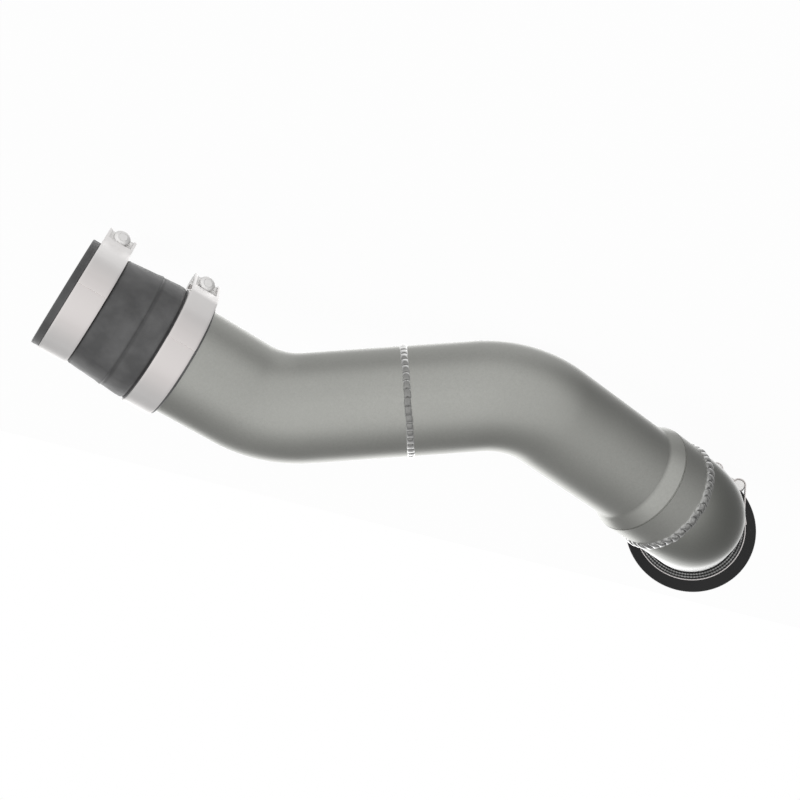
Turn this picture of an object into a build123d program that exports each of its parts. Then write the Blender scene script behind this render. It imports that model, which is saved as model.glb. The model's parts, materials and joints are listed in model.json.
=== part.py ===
from build123d import *
import copy
import math
import os

# Metal tube, 3 inch outside diameter, bent in two lengths
tube_od = 76.2
tube_wall = 2.0
inlet_straight = 69.6
first_bend_angle = 40.0
first_bend_radius = 68.5
straight_before_weld = 69.2
straight_after_weld = 48.0
second_bend_angle = 42.9
second_bend_radius = 74.1
second_bend_roll = -176.2
straight_before_adapter = 82.0

# Stepped adapter and cast elbow
elbow_od = 85.8
elbow_wall = 3.0
cone_length = 12.8
collar_length = 27.0
collar_groove_depth = 0.4
collar_groove_width = 0.8
elbow_angle = 46.6
elbow_land = 3.4
elbow_radius = 57.0
elbow_roll = 63.0
elbow_straight = 183.4

# Weld beads
centre_bead_width = 5.2
centre_bead_height = 1.3
elbow_bead_width = 6.4
elbow_bead_height = 1.7

# Silicone hoses
hose_clearance = 0.05
hose_edge_ease = 0.8
inlet_hose_bore = 69.8
inlet_hose_wall = 3.2
inlet_cuff_length = 27.0
inlet_cone_length = 33.0
inlet_seat_length = 27.0
inlet_insertion = 25.0
outlet_hose_wall = 6.4
outlet_near_cuff = 28.0
outlet_far_cuff = 30.0
hump_length = 36.0
hump_height = 12.0
hump_flank = 9.0
hump_ease = 2.2
outlet_insertion = 29.0

# T-bolt band clamps
band_width = 19.0
band_thickness = 1.0
band_clearance = 0.05
barrel_diameter = 11.0
barrel_length = 19.0
barrel_clearance = 0.1
barrel_flat_depth = 2.0
loop_spacing = 25.0
inlet_loop_lift = 2.2
outlet_loop_lift = 4.0
nut_lean_angle = 90.0
nut_tail_angle = 107.0
head_aim_angle = 40.0
head_landing_angle = 44.0
head_tail_angle = 50.0
bolt_diameter = 6.0
bolt_clearance = 0.15
bolt_end = 0.5
slot_width = 8.0
window_width = 15.6
window_drop = 1.5
washer_diameter = 12.5
washer_thickness = 0.8
nut_across_flats = 10.0
nut_height = 3.5
nut_collar_diameter = 9.2
nut_collar_height = 0.8
bridge_thickness = 0.5

# Where each band sits, measured from the hose end beside it, and how far its bolt is turned
# about the pipe from the normal of the bend beside it
inlet_outer_band_at = 14.6
inlet_inner_band_at = 11.1
outlet_near_band_at = 14.5
outlet_far_band_at = 15.5
inlet_outer_bolt_clock = -152.5
inlet_inner_bolt_clock = -148.8
outlet_near_bolt_clock = 4.4
outlet_far_bolt_clock = -92.0

# How the pipe lies when it has come to rest
lie_heading = 157.20
lie_rise = 13.07
lie_roll = -139.62

# Every clamp is drawn round this axis
hose_axis = Vector(0, 0, 0)

# Radii that follow from the sizes above
tube_radius = tube_od / 2
elbow_outer_radius = elbow_od / 2
inlet_small_bore = inlet_hose_bore / 2
inlet_small_radius = inlet_small_bore + inlet_hose_wall
inlet_large_bore = tube_radius + hose_clearance
inlet_large_radius = inlet_large_bore + inlet_hose_wall
outlet_bore = elbow_outer_radius + hose_clearance
outlet_radius = outlet_bore + outlet_hose_wall
inlet_hose_length = inlet_cuff_length + inlet_cone_length + inlet_seat_length
outlet_hose_length = outlet_near_cuff + hump_length + outlet_far_cuff


def turned(vector, about, degrees):
    return vector.rotate(Axis((0, 0, 0), about), degrees)


class Station:
    """A point on the centre line, with its heading and the normal of the bend plane."""

    def __init__(self, point, heading, normal):
        self.point = point
        self.heading = heading
        self.normal = normal

    def ahead(self, distance):
        return Station(self.point + self.heading * distance, self.heading, self.normal)

    def rolled(self, degrees):
        return Station(self.point, self.heading, turned(self.normal, self.heading, degrees))

    def bent(self, radius, degrees):
        centre = self.point + self.normal.cross(self.heading) * radius
        point = centre + turned(self.point - centre, self.normal, degrees)
        return Station(point, turned(self.heading, self.normal, degrees), self.normal)

    def plane(self):
        return Plane(origin=self.point, x_dir=self.normal, z_dir=self.heading)


def straight_edge(start, distance):
    return Line(start.point, start.ahead(distance).point)


def bend_edge(start, radius, degrees):
    middle = start.bent(radius, degrees / 2)
    return ThreePointArc(start.point, middle.point, start.bent(radius, degrees).point)


def swept_tube(start, edges, outer, wall):
    """A tube of one wall along straight runs and tangent bends."""
    ring = Circle(outer) - Circle(outer - wall)
    return sweep(start.plane() * ring, path=Wire(edges))


def turned_ring(station, corners):
    """A ring turned about the heading from (radius, distance, ease) corners.

    Each corner is cut back by its ease along both sides.
    """
    points = [Vector(radius, 0, distance) for radius, distance, _ in corners]
    outline = []
    for index, (_, _, ease) in enumerate(corners):
        corner = points[index]
        before = (points[index - 1] - corner).normalized()
        after = (points[(index + 1) % len(points)] - corner).normalized()
        outline += [corner + before * ease, corner + after * ease] if ease else [corner]
    return station.plane() * revolve(make_face(Polyline(*outline, close=True)), Axis.Z)


def weld_bead(station, radius, width, height):
    """A low crowned bead that lies on a butt joint."""
    corners = [
        (radius, -width / 2, 0),
        (radius + height, -width / 4, 0),
        (radius + height, width / 4, 0),
        (radius, width / 2, 0),
    ]
    return turned_ring(station, corners)


def inlet_hose(mouth):
    """Reducer hose: small cuff, cone, and the larger cuff that takes the tube."""
    crease = inlet_cuff_length + inlet_cone_length
    corners = [
        (inlet_small_bore, 0, 0),
        (inlet_small_radius, 0, hose_edge_ease),
        (inlet_small_radius, inlet_cuff_length, 0),
        (inlet_large_radius, crease, 0),
        (inlet_large_radius, inlet_hose_length, hose_edge_ease),
        (inlet_large_bore, inlet_hose_length, 0),
        (inlet_large_bore, crease, 0),
        (inlet_small_bore, inlet_cuff_length, 0),
    ]
    return turned_ring(mouth, corners)


def outlet_hose(cut_end):
    """Hump hose: two cuffs with an eased hump between them, all of one wall."""
    top = outlet_radius + hump_height
    inner_top = top - outlet_hose_wall
    rise = outlet_near_cuff + hump_flank
    last_cuff = outlet_near_cuff + hump_length
    fall = last_cuff - hump_flank
    shift = outlet_hose_wall * math.tan(math.atan2(hump_height, hump_flank) / 2)
    corners = [
        (outlet_bore, 0, 0),
        (outlet_radius, 0, hose_edge_ease),
        (outlet_radius, outlet_near_cuff, hump_ease),
        (top, rise, hump_ease),
        (top, fall, hump_ease),
        (outlet_radius, last_cuff, hump_ease),
        (outlet_radius, outlet_hose_length, hose_edge_ease),
        (outlet_bore, outlet_hose_length, 0),
        (outlet_bore, last_cuff - shift, 0),
        (inner_top, fall - shift, 0),
        (inner_top, rise + shift, 0),
        (outlet_bore, outlet_near_cuff + shift, 0),
    ]
    return turned_ring(cut_end, corners)


def step_adapter(start):
    """Turned ring: a cone up to the elbow bore, a fine groove, then a plain collar."""
    end = cone_length + collar_length
    groove_end = cone_length + collar_groove_width
    neck = elbow_outer_radius - collar_groove_depth
    bore = elbow_outer_radius - elbow_wall
    corners = [
        (tube_radius, 0, 0),
        (elbow_outer_radius, cone_length, 0),
        (neck, cone_length, 0),
        (neck, groove_end, 0),
        (elbow_outer_radius, groove_end, 0),
        (elbow_outer_radius, end, 0),
        (bore, end, 0),
        (bore, cone_length, 0),
        (tube_radius - tube_wall, 0, 0),
    ]
    return turned_ring(start, corners)


def direction(angle):
    """Unit vector at an angle from the gap of a clamp, positive towards the nut."""
    return Vector(math.sin(math.radians(angle)), math.cos(math.radians(angle)), 0)


def crossing(first, first_offset, second, second_offset):
    """Where two lines of a clamp's profile cross, each given by its normal and its distance out."""
    spread = first.X * second.Y - first.Y * second.X
    across = (first_offset * second.Y - second_offset * first.Y) / spread
    up = (second_offset * first.X - first_offset * second.X) / spread
    return Vector(across, up, 0)


class Clamp:
    """A T-bolt band clamp, drawn with its gap at +Y, its nut at +X and the hose axis along Z."""

    def __init__(self, hose_radius, loop_lift):
        self.inner = hose_radius + band_clearance
        self.outer = self.inner + band_thickness
        self.lap_outer = self.outer + band_thickness
        self.barrel_radius = barrel_diameter / 2
        self.loop_inner = self.barrel_radius + barrel_clearance
        self.loop_outer = self.loop_inner + band_thickness
        self.reach = self.inner + self.loop_outer + loop_lift
        self.side = loop_spacing / 2
        self.height = math.sqrt(self.reach**2 - self.side**2)
        loop_angle = math.degrees(math.asin(self.side / self.reach))
        under = math.degrees(math.acos((self.inner + self.loop_outer) / self.reach))
        self.under_angle = loop_angle + under

    def sector(self, centre, inner, outer, start, end):
        """Part of a ring between two angles, measured from the gap towards the nut."""
        angles = (start, (start + end) / 2, end)
        outer_points = [centre + direction(angle) * outer for angle in angles]
        inner_points = [centre + direction(angle) * inner for angle in reversed(angles)]
        edges = [
            ThreePointArc(*outer_points),
            Line(outer_points[-1], inner_points[0]),
            ThreePointArc(*inner_points),
            Line(inner_points[-1], outer_points[0]),
        ]
        return make_face(Wire(edges))

    def lean_towards(self, angle):
        """The lean of a strap that leaves its loop smoothly and comes down at an angle from the gap."""
        fall = direction(angle) * self.lap_outer - Vector(self.side, self.height, 0)
        bearing = math.degrees(math.atan2(fall.X, fall.Y))
        return bearing - math.degrees(math.acos(self.loop_outer / fall.length))

    def folded_end(self, side, lean_angle, landing_angle, tail_angle):
        """One band end: up from the hose, round its barrel, down to the band and along it."""
        centre = Vector(side * self.side, self.height, 0)
        rise = direction(side * self.under_angle)
        lean = direction(side * lean_angle)
        landing = direction(side * landing_angle)
        strap = centre.dot(lean)
        rising = Polyline(
            rise * self.inner,
            rise * self.outer,
            centre - rise * self.loop_inner,
            centre - rise * self.loop_outer,
            close=True,
        )
        falling = Polyline(
            centre + lean * self.loop_inner,
            centre + lean * self.loop_outer,
            crossing(lean, strap + self.loop_outer, landing, self.lap_outer),
            landing * self.lap_outer,
            landing * self.outer,
            crossing(lean, strap + self.loop_inner, landing, self.outer),
            close=True,
        )
        loop_ends = (side * (self.under_angle - 180), side * lean_angle)
        loop = self.sector(centre, self.loop_inner, self.loop_outer, *loop_ends)
        tail_ends = (side * landing_angle, side * tail_angle)
        tail = self.sector(hose_axis, self.outer, self.lap_outer, *tail_ends)
        return make_face(rising) + loop + make_face(falling) + tail

    def band(self):
        ends = (self.under_angle, 360 - self.under_angle)
        around = self.sector(hose_axis, self.inner, self.outer, *ends)
        nut_end = self.folded_end(1, nut_lean_angle, self.under_angle, nut_tail_angle)
        head_lean_angle = self.lean_towards(head_aim_angle)
        head_end = self.folded_end(-1, head_lean_angle, head_landing_angle, head_tail_angle)
        strip = extrude(around + nut_end + head_end, band_width / 2, both=True)
        slot = Pos(0, self.height) * Box(2 * self.side, slot_width, slot_width)
        window_low = self.height - self.barrel_radius - window_drop
        window_high = self.height + 2 * self.loop_outer
        window_size = (2 * self.reach, window_high - window_low, window_width)
        window_centre = (self.side + self.reach, (window_low + window_high) / 2)
        return strip - slot - Pos(*window_centre) * Box(*window_size)

    def bridge(self):
        """The thin tongue that carries the hose under the gap and under both loops."""
        outer = self.inner + bridge_thickness
        lifted = math.degrees(math.acos(self.inner / (outer + band_clearance)))
        half = self.under_angle - lifted
        tongue = self.sector(hose_axis, self.inner, outer, -half, half)
        return extrude(tongue, band_width / 2, both=True)

    def along_bolt(self, start, profile, length):
        """A profile extruded along the bolt from a distance along it."""
        foot = Plane(origin=(start, self.height, 0), x_dir=(0, 1, 0), z_dir=(1, 0, 0))
        return extrude(foot * profile, length)

    def barrel(self, side):
        return Pos(side * self.side, self.height) * Cylinder(self.barrel_radius, barrel_length)

    def flat_at(self):
        return self.side + self.barrel_radius - barrel_flat_depth

    def bolt(self):
        nut_end = self.flat_at() + washer_thickness + nut_height + nut_collar_height
        length = nut_end + bolt_end + self.side
        shank = self.along_bolt(-self.side, Circle(bolt_diameter / 2), length)
        return self.barrel(-1) + shank

    def trunnion(self):
        hole = self.along_bolt(0, Circle(bolt_diameter / 2 + bolt_clearance), self.reach)
        face = self.along_bolt(self.flat_at(), Rectangle(barrel_length, 2 * barrel_length), self.reach)
        return self.barrel(1) - hole - face

    def washer(self):
        ring = Circle(washer_diameter / 2) - Circle(bolt_diameter / 2 + bolt_clearance)
        return self.along_bolt(self.flat_at(), ring, washer_thickness)

    def nut(self):
        seat = self.flat_at() + washer_thickness
        hole = Circle(bolt_diameter / 2 + bolt_clearance)
        hexagon = RegularPolygon(nut_across_flats / 2, 6, major_radius=False) - hole
        collar = Circle(nut_collar_diameter / 2) - hole
        body = self.along_bolt(seat, hexagon, nut_height)
        return body + self.along_bolt(seat + nut_height, collar, nut_collar_height)

    def pieces(self):
        return {
            "band": self.band(),
            "bridge": self.bridge(),
            "t_bolt": self.bolt(),
            "trunnion": self.trunnion(),
            "washer": self.washer(),
            "lock_nut": self.nut(),
        }


def clamp_plane(station, clock, nut_turn):
    """Where a clamp sits: its gap at the clock angle, its nut clockwise or counter to the heading."""
    axis = station.heading * nut_turn
    outward = turned(station.normal, station.heading, clock)
    return Plane(origin=station.point, x_dir=outward.cross(axis), z_dir=axis)


# Stations along the centre line, from the mouth of the inlet hose to the far end
level = Vector(math.cos(math.radians(lie_heading)), math.sin(math.radians(lie_heading)), 0)
sideways = level.cross(Vector(0, 0, 1))
heading = turned(level, sideways, lie_rise)
mouth = Station(Vector(0, 0, 0), heading, turned(sideways, heading, lie_roll))
tube_start = mouth.ahead(inlet_hose_length - inlet_insertion)
first_bend = tube_start.ahead(inlet_straight)
after_first = first_bend.bent(first_bend_radius, first_bend_angle)
centre_joint = after_first.ahead(straight_before_weld)
second_bend = centre_joint.ahead(straight_after_weld).rolled(second_bend_roll)
after_second = second_bend.bent(second_bend_radius, second_bend_angle)
adapter_start = after_second.ahead(straight_before_adapter)
elbow_start = adapter_start.ahead(cone_length + collar_length).rolled(elbow_roll)
elbow_bend = elbow_start.ahead(elbow_land)
after_elbow = elbow_bend.bent(elbow_radius, elbow_angle)
elbow_end = after_elbow.ahead(elbow_straight)
outlet_cut = elbow_end.ahead(-outlet_insertion)

nodes = {}

first_run = [
    straight_edge(tube_start, inlet_straight),
    bend_edge(first_bend, first_bend_radius, first_bend_angle),
    straight_edge(after_first, straight_before_weld),
]
nodes["inlet_tube"] = swept_tube(tube_start, first_run, tube_radius, tube_wall)

second_run = [
    straight_edge(centre_joint, straight_after_weld),
    bend_edge(second_bend, second_bend_radius, second_bend_angle),
    straight_edge(after_second, straight_before_adapter),
]
nodes["centre_tube"] = swept_tube(centre_joint, second_run, tube_radius, tube_wall)

elbow_run = [
    straight_edge(elbow_start, elbow_land),
    bend_edge(elbow_bend, elbow_radius, elbow_angle),
    straight_edge(after_elbow, elbow_straight),
]
nodes["outlet_elbow"] = swept_tube(elbow_start, elbow_run, elbow_outer_radius, elbow_wall)

nodes["step_adapter"] = step_adapter(adapter_start)
nodes["centre_weld_bead"] = weld_bead(centre_joint, tube_radius, centre_bead_width, centre_bead_height)
nodes["elbow_weld_bead"] = weld_bead(
    elbow_start, elbow_outer_radius, elbow_bead_width, elbow_bead_height
)
nodes["inlet_coupler"] = inlet_hose(mouth)
nodes["outlet_coupler"] = outlet_hose(outlet_cut)

# Each clamp: its place, the radius of the hose under it, its loop lift, clock angle and nut side
outer_band_place = mouth.ahead(inlet_outer_band_at)
inner_band_place = mouth.ahead(inlet_hose_length - inlet_inner_band_at)
near_band_place = outlet_cut.ahead(outlet_near_band_at)
far_band_place = outlet_cut.ahead(outlet_hose_length - outlet_far_band_at)
clamps = {
    "inlet_outer": (outer_band_place, inlet_small_radius, inlet_loop_lift, inlet_outer_bolt_clock, -1),
    "inlet_inner": (inner_band_place, inlet_large_radius, inlet_loop_lift, inlet_inner_bolt_clock, -1),
    "outlet_near": (near_band_place, outlet_radius, outlet_loop_lift, outlet_near_bolt_clock, 1),
    "outlet_far": (far_band_place, outlet_radius, outlet_loop_lift, outlet_far_bolt_clock, 1),
}
for name, (station, radius, loop_lift, clock, nut_turn) in clamps.items():
    place = clamp_plane(station, clock, nut_turn)
    for piece, solid in Clamp(radius, loop_lift).pieces().items():
        nodes[f"{name}_{piece}"] = place * solid

# The pipe is set down with its lowest point at the origin's height
box = Compound(children=[copy.copy(node) for node in nodes.values()]).bounding_box()
set_down = Pos(-(box.min.X + box.max.X) / 2, -(box.min.Y + box.max.Y) / 2, -box.min.Z)
os.makedirs("parts", exist_ok=True)
for name, node in nodes.items():
    export_step(set_down * node, f"parts/{name}.step")
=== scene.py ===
import bpy
import json
import math
import random
from mathutils import Matrix, Vector, noise


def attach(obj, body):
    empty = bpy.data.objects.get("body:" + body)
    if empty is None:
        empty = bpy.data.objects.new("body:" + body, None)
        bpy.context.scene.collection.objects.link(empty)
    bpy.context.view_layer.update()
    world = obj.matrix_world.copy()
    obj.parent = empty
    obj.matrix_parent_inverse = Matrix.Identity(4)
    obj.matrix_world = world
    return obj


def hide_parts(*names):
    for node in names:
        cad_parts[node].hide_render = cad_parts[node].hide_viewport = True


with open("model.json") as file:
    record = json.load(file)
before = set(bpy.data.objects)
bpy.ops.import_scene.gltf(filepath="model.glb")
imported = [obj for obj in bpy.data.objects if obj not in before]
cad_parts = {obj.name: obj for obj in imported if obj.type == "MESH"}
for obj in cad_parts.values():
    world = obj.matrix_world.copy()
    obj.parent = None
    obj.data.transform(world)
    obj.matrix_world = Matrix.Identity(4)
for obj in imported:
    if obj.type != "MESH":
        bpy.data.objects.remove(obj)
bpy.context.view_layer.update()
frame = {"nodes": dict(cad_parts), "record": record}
mm = 0.001
print("frame loaded:", len(frame["nodes"]), "nodes")

# small helpers


def turned(vector, about, degrees):
    return Matrix.Rotation(math.radians(degrees), 3, about) @ vector


# a station is a point of the centre line: its spot, heading, the normal of the bend
# and a mark that is carried along without twist
def ahead(station, distance):
    spot, heading, normal, mark = station
    return (spot + heading * distance, heading, normal, mark)


def rolled(station, degrees):
    spot, heading, normal, mark = station
    return (spot, heading, turned(normal, heading, degrees), mark)


def bent(station, radius, degrees):
    spot, heading, normal, mark = station
    centre = spot + normal.cross(heading) * radius
    turns = [turned(vector, normal, degrees) for vector in (spot - centre, heading, mark)]
    return (centre + turns[0], turns[1], normal, turns[2])


def stationsAlong(start, legs, straightStep=6.0, bendStep=1.5):
    # every leg is (length,) for a straight or (radius, degrees) for a bend
    found, station, along = [(start, 0.0)], start, 0.0
    for leg in legs:
        straight = len(leg) == 1
        length = leg[0] if straight else leg[0] * math.radians(leg[1])
        steps = max(1, round(length / straightStep)) if straight else max(2, round(leg[1] / bendStep))
        for step in range(1, steps + 1):
            share = step / steps
            here = ahead(station, length * share) if straight else bent(station, leg[0], leg[1] * share)
            found.append((here, along + length * share))
        station, along = found[-1]
    return found


def softCorners(corners, steps=5):
    # rounds a closed outline of (radius, distance, rounding) corners
    points = []
    count = len(corners)
    for index in range(count):
        here = Vector(corners[index][:2])
        before = Vector(corners[index - 1][:2])
        after = Vector(corners[(index + 1) % count][:2])
        rounding = corners[index][2]
        if rounding <= 0:
            points.append(tuple(here))
            continue
        toBefore, toAfter = (before - here).normalized(), (after - here).normalized()
        half = toBefore.angle(toAfter) / 2
        reach = rounding / math.tan(half)
        centre = here + (toBefore + toAfter).normalized() * (rounding / math.sin(half))
        first, last = here + toBefore * reach - centre, here + toAfter * reach - centre
        sweep = first.angle_signed(last)
        for step in range(steps + 1):
            angle = -sweep * step / steps
            cosine, sine = math.cos(angle), math.sin(angle)
            points.append((
                centre.x + first.x * cosine - first.y * sine,
                centre.y + first.x * sine + first.y * cosine,
            ))
    return points


def linked(name, data):
    thing = bpy.data.objects.new(name, data)
    bpy.context.scene.collection.objects.link(thing)
    return thing


def quads(rows, columns, corner, surface, leaveOut=None):
    # a grid's faces and their surface map: corner gives a vertex's number and surface its (u, v)
    faces, uvs = [], []
    for row in range(rows):
        for column in range(columns):
            if leaveOut and leaveOut(row, column):
                continue
            around = ((row, column), (row, column + 1), (row + 1, column + 1), (row + 1, column))
            faces.append(tuple(corner(*spot) for spot in around))
            uvs.append(tuple(surface(*spot) for spot in around))
    return faces, uvs


def finishMesh(name, vertices, faces, uvs, sharpAngle=35):
    mesh = bpy.data.meshes.new(name)
    mesh.from_pydata([tuple(vertex * mm) for vertex in vertices], [], faces)
    layer = mesh.uv_layers.new(name="surface")
    layer.data.foreach_set("uv", [value for face in uvs for corner in face for value in corner])
    mesh.validate()
    mesh.shade_smooth()
    mesh.set_sharp_from_angle(angle=math.radians(sharpAngle))
    mesh.update()
    return linked(name, mesh)


def ringSkin(name, rings, segments=128, closed=True, sharpAngle=35, shape=None):
    # rings are (station, radius, distance along the surface); a closed skin joins last to first
    vertices = []
    for index, (station, radius, along) in enumerate(rings):
        spot, heading, normal, mark = station
        side = heading.cross(mark)
        for segment in range(segments):
            angle = 2 * math.pi * segment / segments
            reach = shape(index, angle, radius) if shape else radius
            vertices.append(spot + (mark * math.cos(angle) + side * math.sin(angle)) * reach)
    count = len(rings)
    girth = 2 * math.pi * max(ring[1] for ring in rings) * mm
    faces, uvs = quads(
        count if closed else count - 1, segments,
        lambda ring, segment: ring % count * segments + segment % segments,
        lambda ring, segment: (girth * segment / segments, rings[ring % count][2] * mm))
    return finishMesh(name, vertices, faces, uvs, sharpAngle)


def filledIn(points, step):
    # adds points on the long stretches of a closed outline
    made = []
    for index, point in enumerate(points):
        following = points[(index + 1) % len(points)]
        parts = max(1, math.ceil(math.dist(point, following) / step))
        made += [tuple(Vector(point).lerp(Vector(following), part / parts)) for part in range(parts)]
    return made


def lathe(name, station, corners, segments=128, sharpAngle=35, steps=5, shape=None, fine=None):
    # a ring of any outline, turned about the station's heading
    # shape gives the radius from the distance, the angle and the outline's radius
    points = softCorners(corners, steps)
    if fine:
        points = filledIn(points, fine)
    rings, along = [], 0.0
    for index, (radius, distance) in enumerate(points):
        if index:
            along += math.dist(points[index - 1], points[index])
        rings.append((ahead(station, distance), radius, along))
    skin = shape and (lambda index, angle, radius: shape(points[index][1], angle, radius))
    return ringSkin(name, rings, segments, True, sharpAngle, skin)


def bevelled(piece, width, angle):
    bevel = piece.modifiers.new("softEdge", "BEVEL")
    bevel.width = width * mm
    bevel.segments = 2
    bevel.limit_method = "ANGLE"
    bevel.angle_limit = math.radians(angle)
    return piece


def dress(piece, material, slot, *nodes):
    piece.data.materials.clear()
    piece.data.materials.append(material)
    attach(piece, "root")
    if nodes:
        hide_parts(*nodes)
    return piece


# materials


def makeGroup(name, inputs, outputs):
    group = bpy.data.node_groups.new(name, "ShaderNodeTree")
    for label, value in inputs.items():
        socket = group.interface.new_socket(label, in_out="INPUT", socket_type="NodeSocketFloat")
        socket.default_value = value
    for label in outputs:
        group.interface.new_socket(label, in_out="OUTPUT", socket_type="NodeSocketFloat")
    return group, group.nodes.new("NodeGroupInput"), group.nodes.new("NodeGroupOutput")


def newNode(tree, kind):
    return tree.nodes.new("ShaderNode" + kind)


def feed(tree, socket, value):
    # a constant is set on the socket itself and an output is linked to it
    if isinstance(value, tuple):
        socket.default_value = (*value, 1.0)
    elif isinstance(value, (int, float)):
        socket.default_value = value
    else:
        tree.links.new(value, socket)


def makeNoise(tree, vector, scale, detail=4.0, roughness=0.6):
    texture = newNode(tree, "TexNoise")
    tree.links.new(vector, texture.inputs["Vector"])
    for label, value in (("Scale", scale), ("Detail", detail), ("Roughness", roughness)):
        feed(tree, texture.inputs[label], value)
    return texture.outputs["Fac"]


def makeMath(tree, operation, first, second=None, third=None, clamp=False):
    node = newNode(tree, "Math")
    node.operation = operation
    node.use_clamp = clamp
    for socket, value in zip(node.inputs, (first, second, third)):
        if value is not None:
            feed(tree, socket, value)
    return node.outputs[0]


def makeRange(tree, value, low, high, newLow=0.0, newHigh=1.0):
    node = newNode(tree, "MapRange")
    labels = ("Value", "From Min", "From Max", "To Min", "To Max")
    for label, bound in zip(labels, (value, low, high, newLow, newHigh)):
        feed(tree, node.inputs[label], bound)
    return node.outputs["Result"]


def makeBlastGrain():
    # fine pits and a faint sparkle of tone, as bead blasting leaves
    group, given, result = makeGroup(
        "blastGrain", {"Grains per metre": 1400.0, "Contrast": 1.0}, ("Tone", "Height"))
    where = newNode(group, "TexCoord").outputs["Object"]
    coarse = makeMath(group, "MULTIPLY", given.outputs["Grains per metre"], 0.35)
    fine = makeNoise(group, where, given.outputs["Grains per metre"], 2.0, 0.5)
    broad = makeNoise(group, where, coarse, 3.0, 0.6)
    both = makeMath(
        group, "ADD", makeMath(group, "MULTIPLY", fine, 0.6), makeMath(group, "MULTIPLY", broad, 0.4))
    centred = makeMath(group, "SUBTRACT", both, 0.5)
    tone = makeMath(group, "MULTIPLY_ADD", centred, given.outputs["Contrast"], 0.5)
    group.links.new(tone, result.inputs["Tone"])
    group.links.new(both, result.inputs["Height"])
    return group


def makeSmudge():
    # large soft patches, where hands and cloths have been
    group, given, result = makeGroup(
        "softSmudge", {"Patches per metre": 14.0, "Low": 0.0, "High": 1.0}, ("Value",))
    where = newNode(group, "TexCoord").outputs["Object"]
    patches = makeNoise(group, where, given.outputs["Patches per metre"], 3.0, 0.55)
    value = makeRange(group, patches, 0.35, 0.65, given.outputs["Low"], given.outputs["High"])
    group.links.new(value, result.inputs["Value"])
    return group


def makeFineLines():
    # lines that run round a turned or rolled surface, read from the surface map
    group, given, result = makeGroup(
        "fineLines", {"Across per metre": 2500.0, "Along per metre": 12.0}, ("Tone", "Height"))
    where = newNode(group, "TexCoord").outputs["UV"]
    split = newNode(group, "SeparateXYZ")
    group.links.new(where, split.inputs[0])
    stretched = newNode(group, "CombineXYZ")
    for axis, label in (("X", "Along per metre"), ("Y", "Across per metre")):
        scaled = makeMath(group, "MULTIPLY", split.outputs[axis], given.outputs[label])
        group.links.new(scaled, stretched.inputs[axis])
    lines = makeNoise(group, stretched.outputs[0], 1.0, 2.0, 0.6)
    group.links.new(lines, result.inputs["Tone"])
    group.links.new(lines, result.inputs["Height"])
    return group


def makeCreaseShadeMask():
    # a pointiness mask for painted shade: dark in a crease, bright where an edge stands proud
    group, given, result = makeGroup("creaseShadeMask", {"Low": 0.5, "High": 0.6}, ("Mask",))
    pointed = newNode(group, "NewGeometry").outputs["Pointiness"]
    mask = makeRange(group, pointed, given.outputs["Low"], given.outputs["High"])
    group.links.new(mask, result.inputs["Mask"])
    return group


blastGrain = makeBlastGrain()
softSmudge = makeSmudge()
fineLines = makeFineLines()
creaseShadeMask = makeCreaseShadeMask()


def useGroup(tree, group, values):
    node = newNode(tree, "Group")
    node.node_tree = group
    for label, value in values.items():
        feed(tree, node.inputs[label], value)
    return node


def startMaterial(name):
    material = bpy.data.materials.new(name)
    material.use_nodes = True
    tree = material.node_tree
    return material, tree, tree.nodes["Principled BSDF"]


def mixColour(tree, factor, first, second):
    node = newNode(tree, "Mix")
    node.data_type = "RGBA"
    feed(tree, node.inputs["Factor"], factor)
    for socket in node.inputs:
        if socket.type == "RGBA":
            feed(tree, socket, first if socket.name == "A" else second)
    return [socket for socket in node.outputs if socket.type == "RGBA"][0]


def turnedAway(tree, low, high):
    # 0 where the surface faces the eye, 1 where it is turned from it; the painted highlights and sheen are
    # laid on with it
    slant = newNode(tree, "LayerWeight")
    slant.inputs["Blend"].default_value = 0.5
    return makeRange(tree, slant.outputs["Facing"], low, high)


def addBump(tree, shader, height, distance, strength=1.0, under=None):
    bump = newNode(tree, "Bump")
    bump.inputs["Distance"].default_value = distance * mm
    bump.inputs["Strength"].default_value = strength
    tree.links.new(height, bump.inputs["Height"])
    if under is not None:
        tree.links.new(under, bump.inputs["Normal"])
    if shader is not None:
        tree.links.new(bump.outputs["Normal"], shader.inputs["Normal"])
    return bump.outputs["Normal"]


blastedLook = {
    "dark": (0.375, 0.378, 0.356), "light": (0.435, 0.438, 0.414), "roughLow": 0.36, "roughHigh": 0.42,
    "grainDepth": 0.03,
}


def makeBlastedMetal(name, look, lathed=False):
    material, tree, shader = startMaterial(name)
    grain = useGroup(tree, blastGrain, {"Grains per metre": 1500.0, "Contrast": 1.6})
    smudge = useGroup(tree, softSmudge, {"Patches per metre": 11.0, "Low": 0.35, "High": 0.65})
    tone = makeMath(tree, "MULTIPLY", grain.outputs["Tone"], smudge.outputs["Value"])
    shade = makeRange(tree, tone, 0.08, 0.42)
    colour = mixColour(tree, shade, look["dark"], look["light"])
    # painted highlight: the rim colour is laid on where the surface turns from the eye
    if "rimHighlight" in look:
        colour = mixColour(tree, turnedAway(tree, look["rimHighlightFrom"], look["rimHighlightTo"]), colour, look["rimHighlight"])
    tree.links.new(colour, shader.inputs["Base Color"])
    tree.links.new(
        makeRange(tree, smudge.outputs["Value"], 0.35, 0.65, look["roughLow"], look["roughHigh"]),
        shader.inputs["Roughness"])
    shader.inputs["Metallic"].default_value = 1.0
    shader.inputs["Specular Tint"].default_value = (1.0, 1.0, 1.0, 1.0)
    under = addBump(tree, None, grain.outputs["Height"], look["grainDepth"], 0.6)
    if lathed:
        lines = useGroup(tree, fineLines, {"Across per metre": 1500.0, "Along per metre": 3.0})
        addBump(tree, shader, lines.outputs["Height"], 0.03, 0.5, under)
    else:
        tree.links.new(under, shader.inputs["Normal"])
    return material


# the elbow's metal is a darker copy of the tube metal, painted shade over the whole elbow, with a painted
# highlight along its rim
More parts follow.
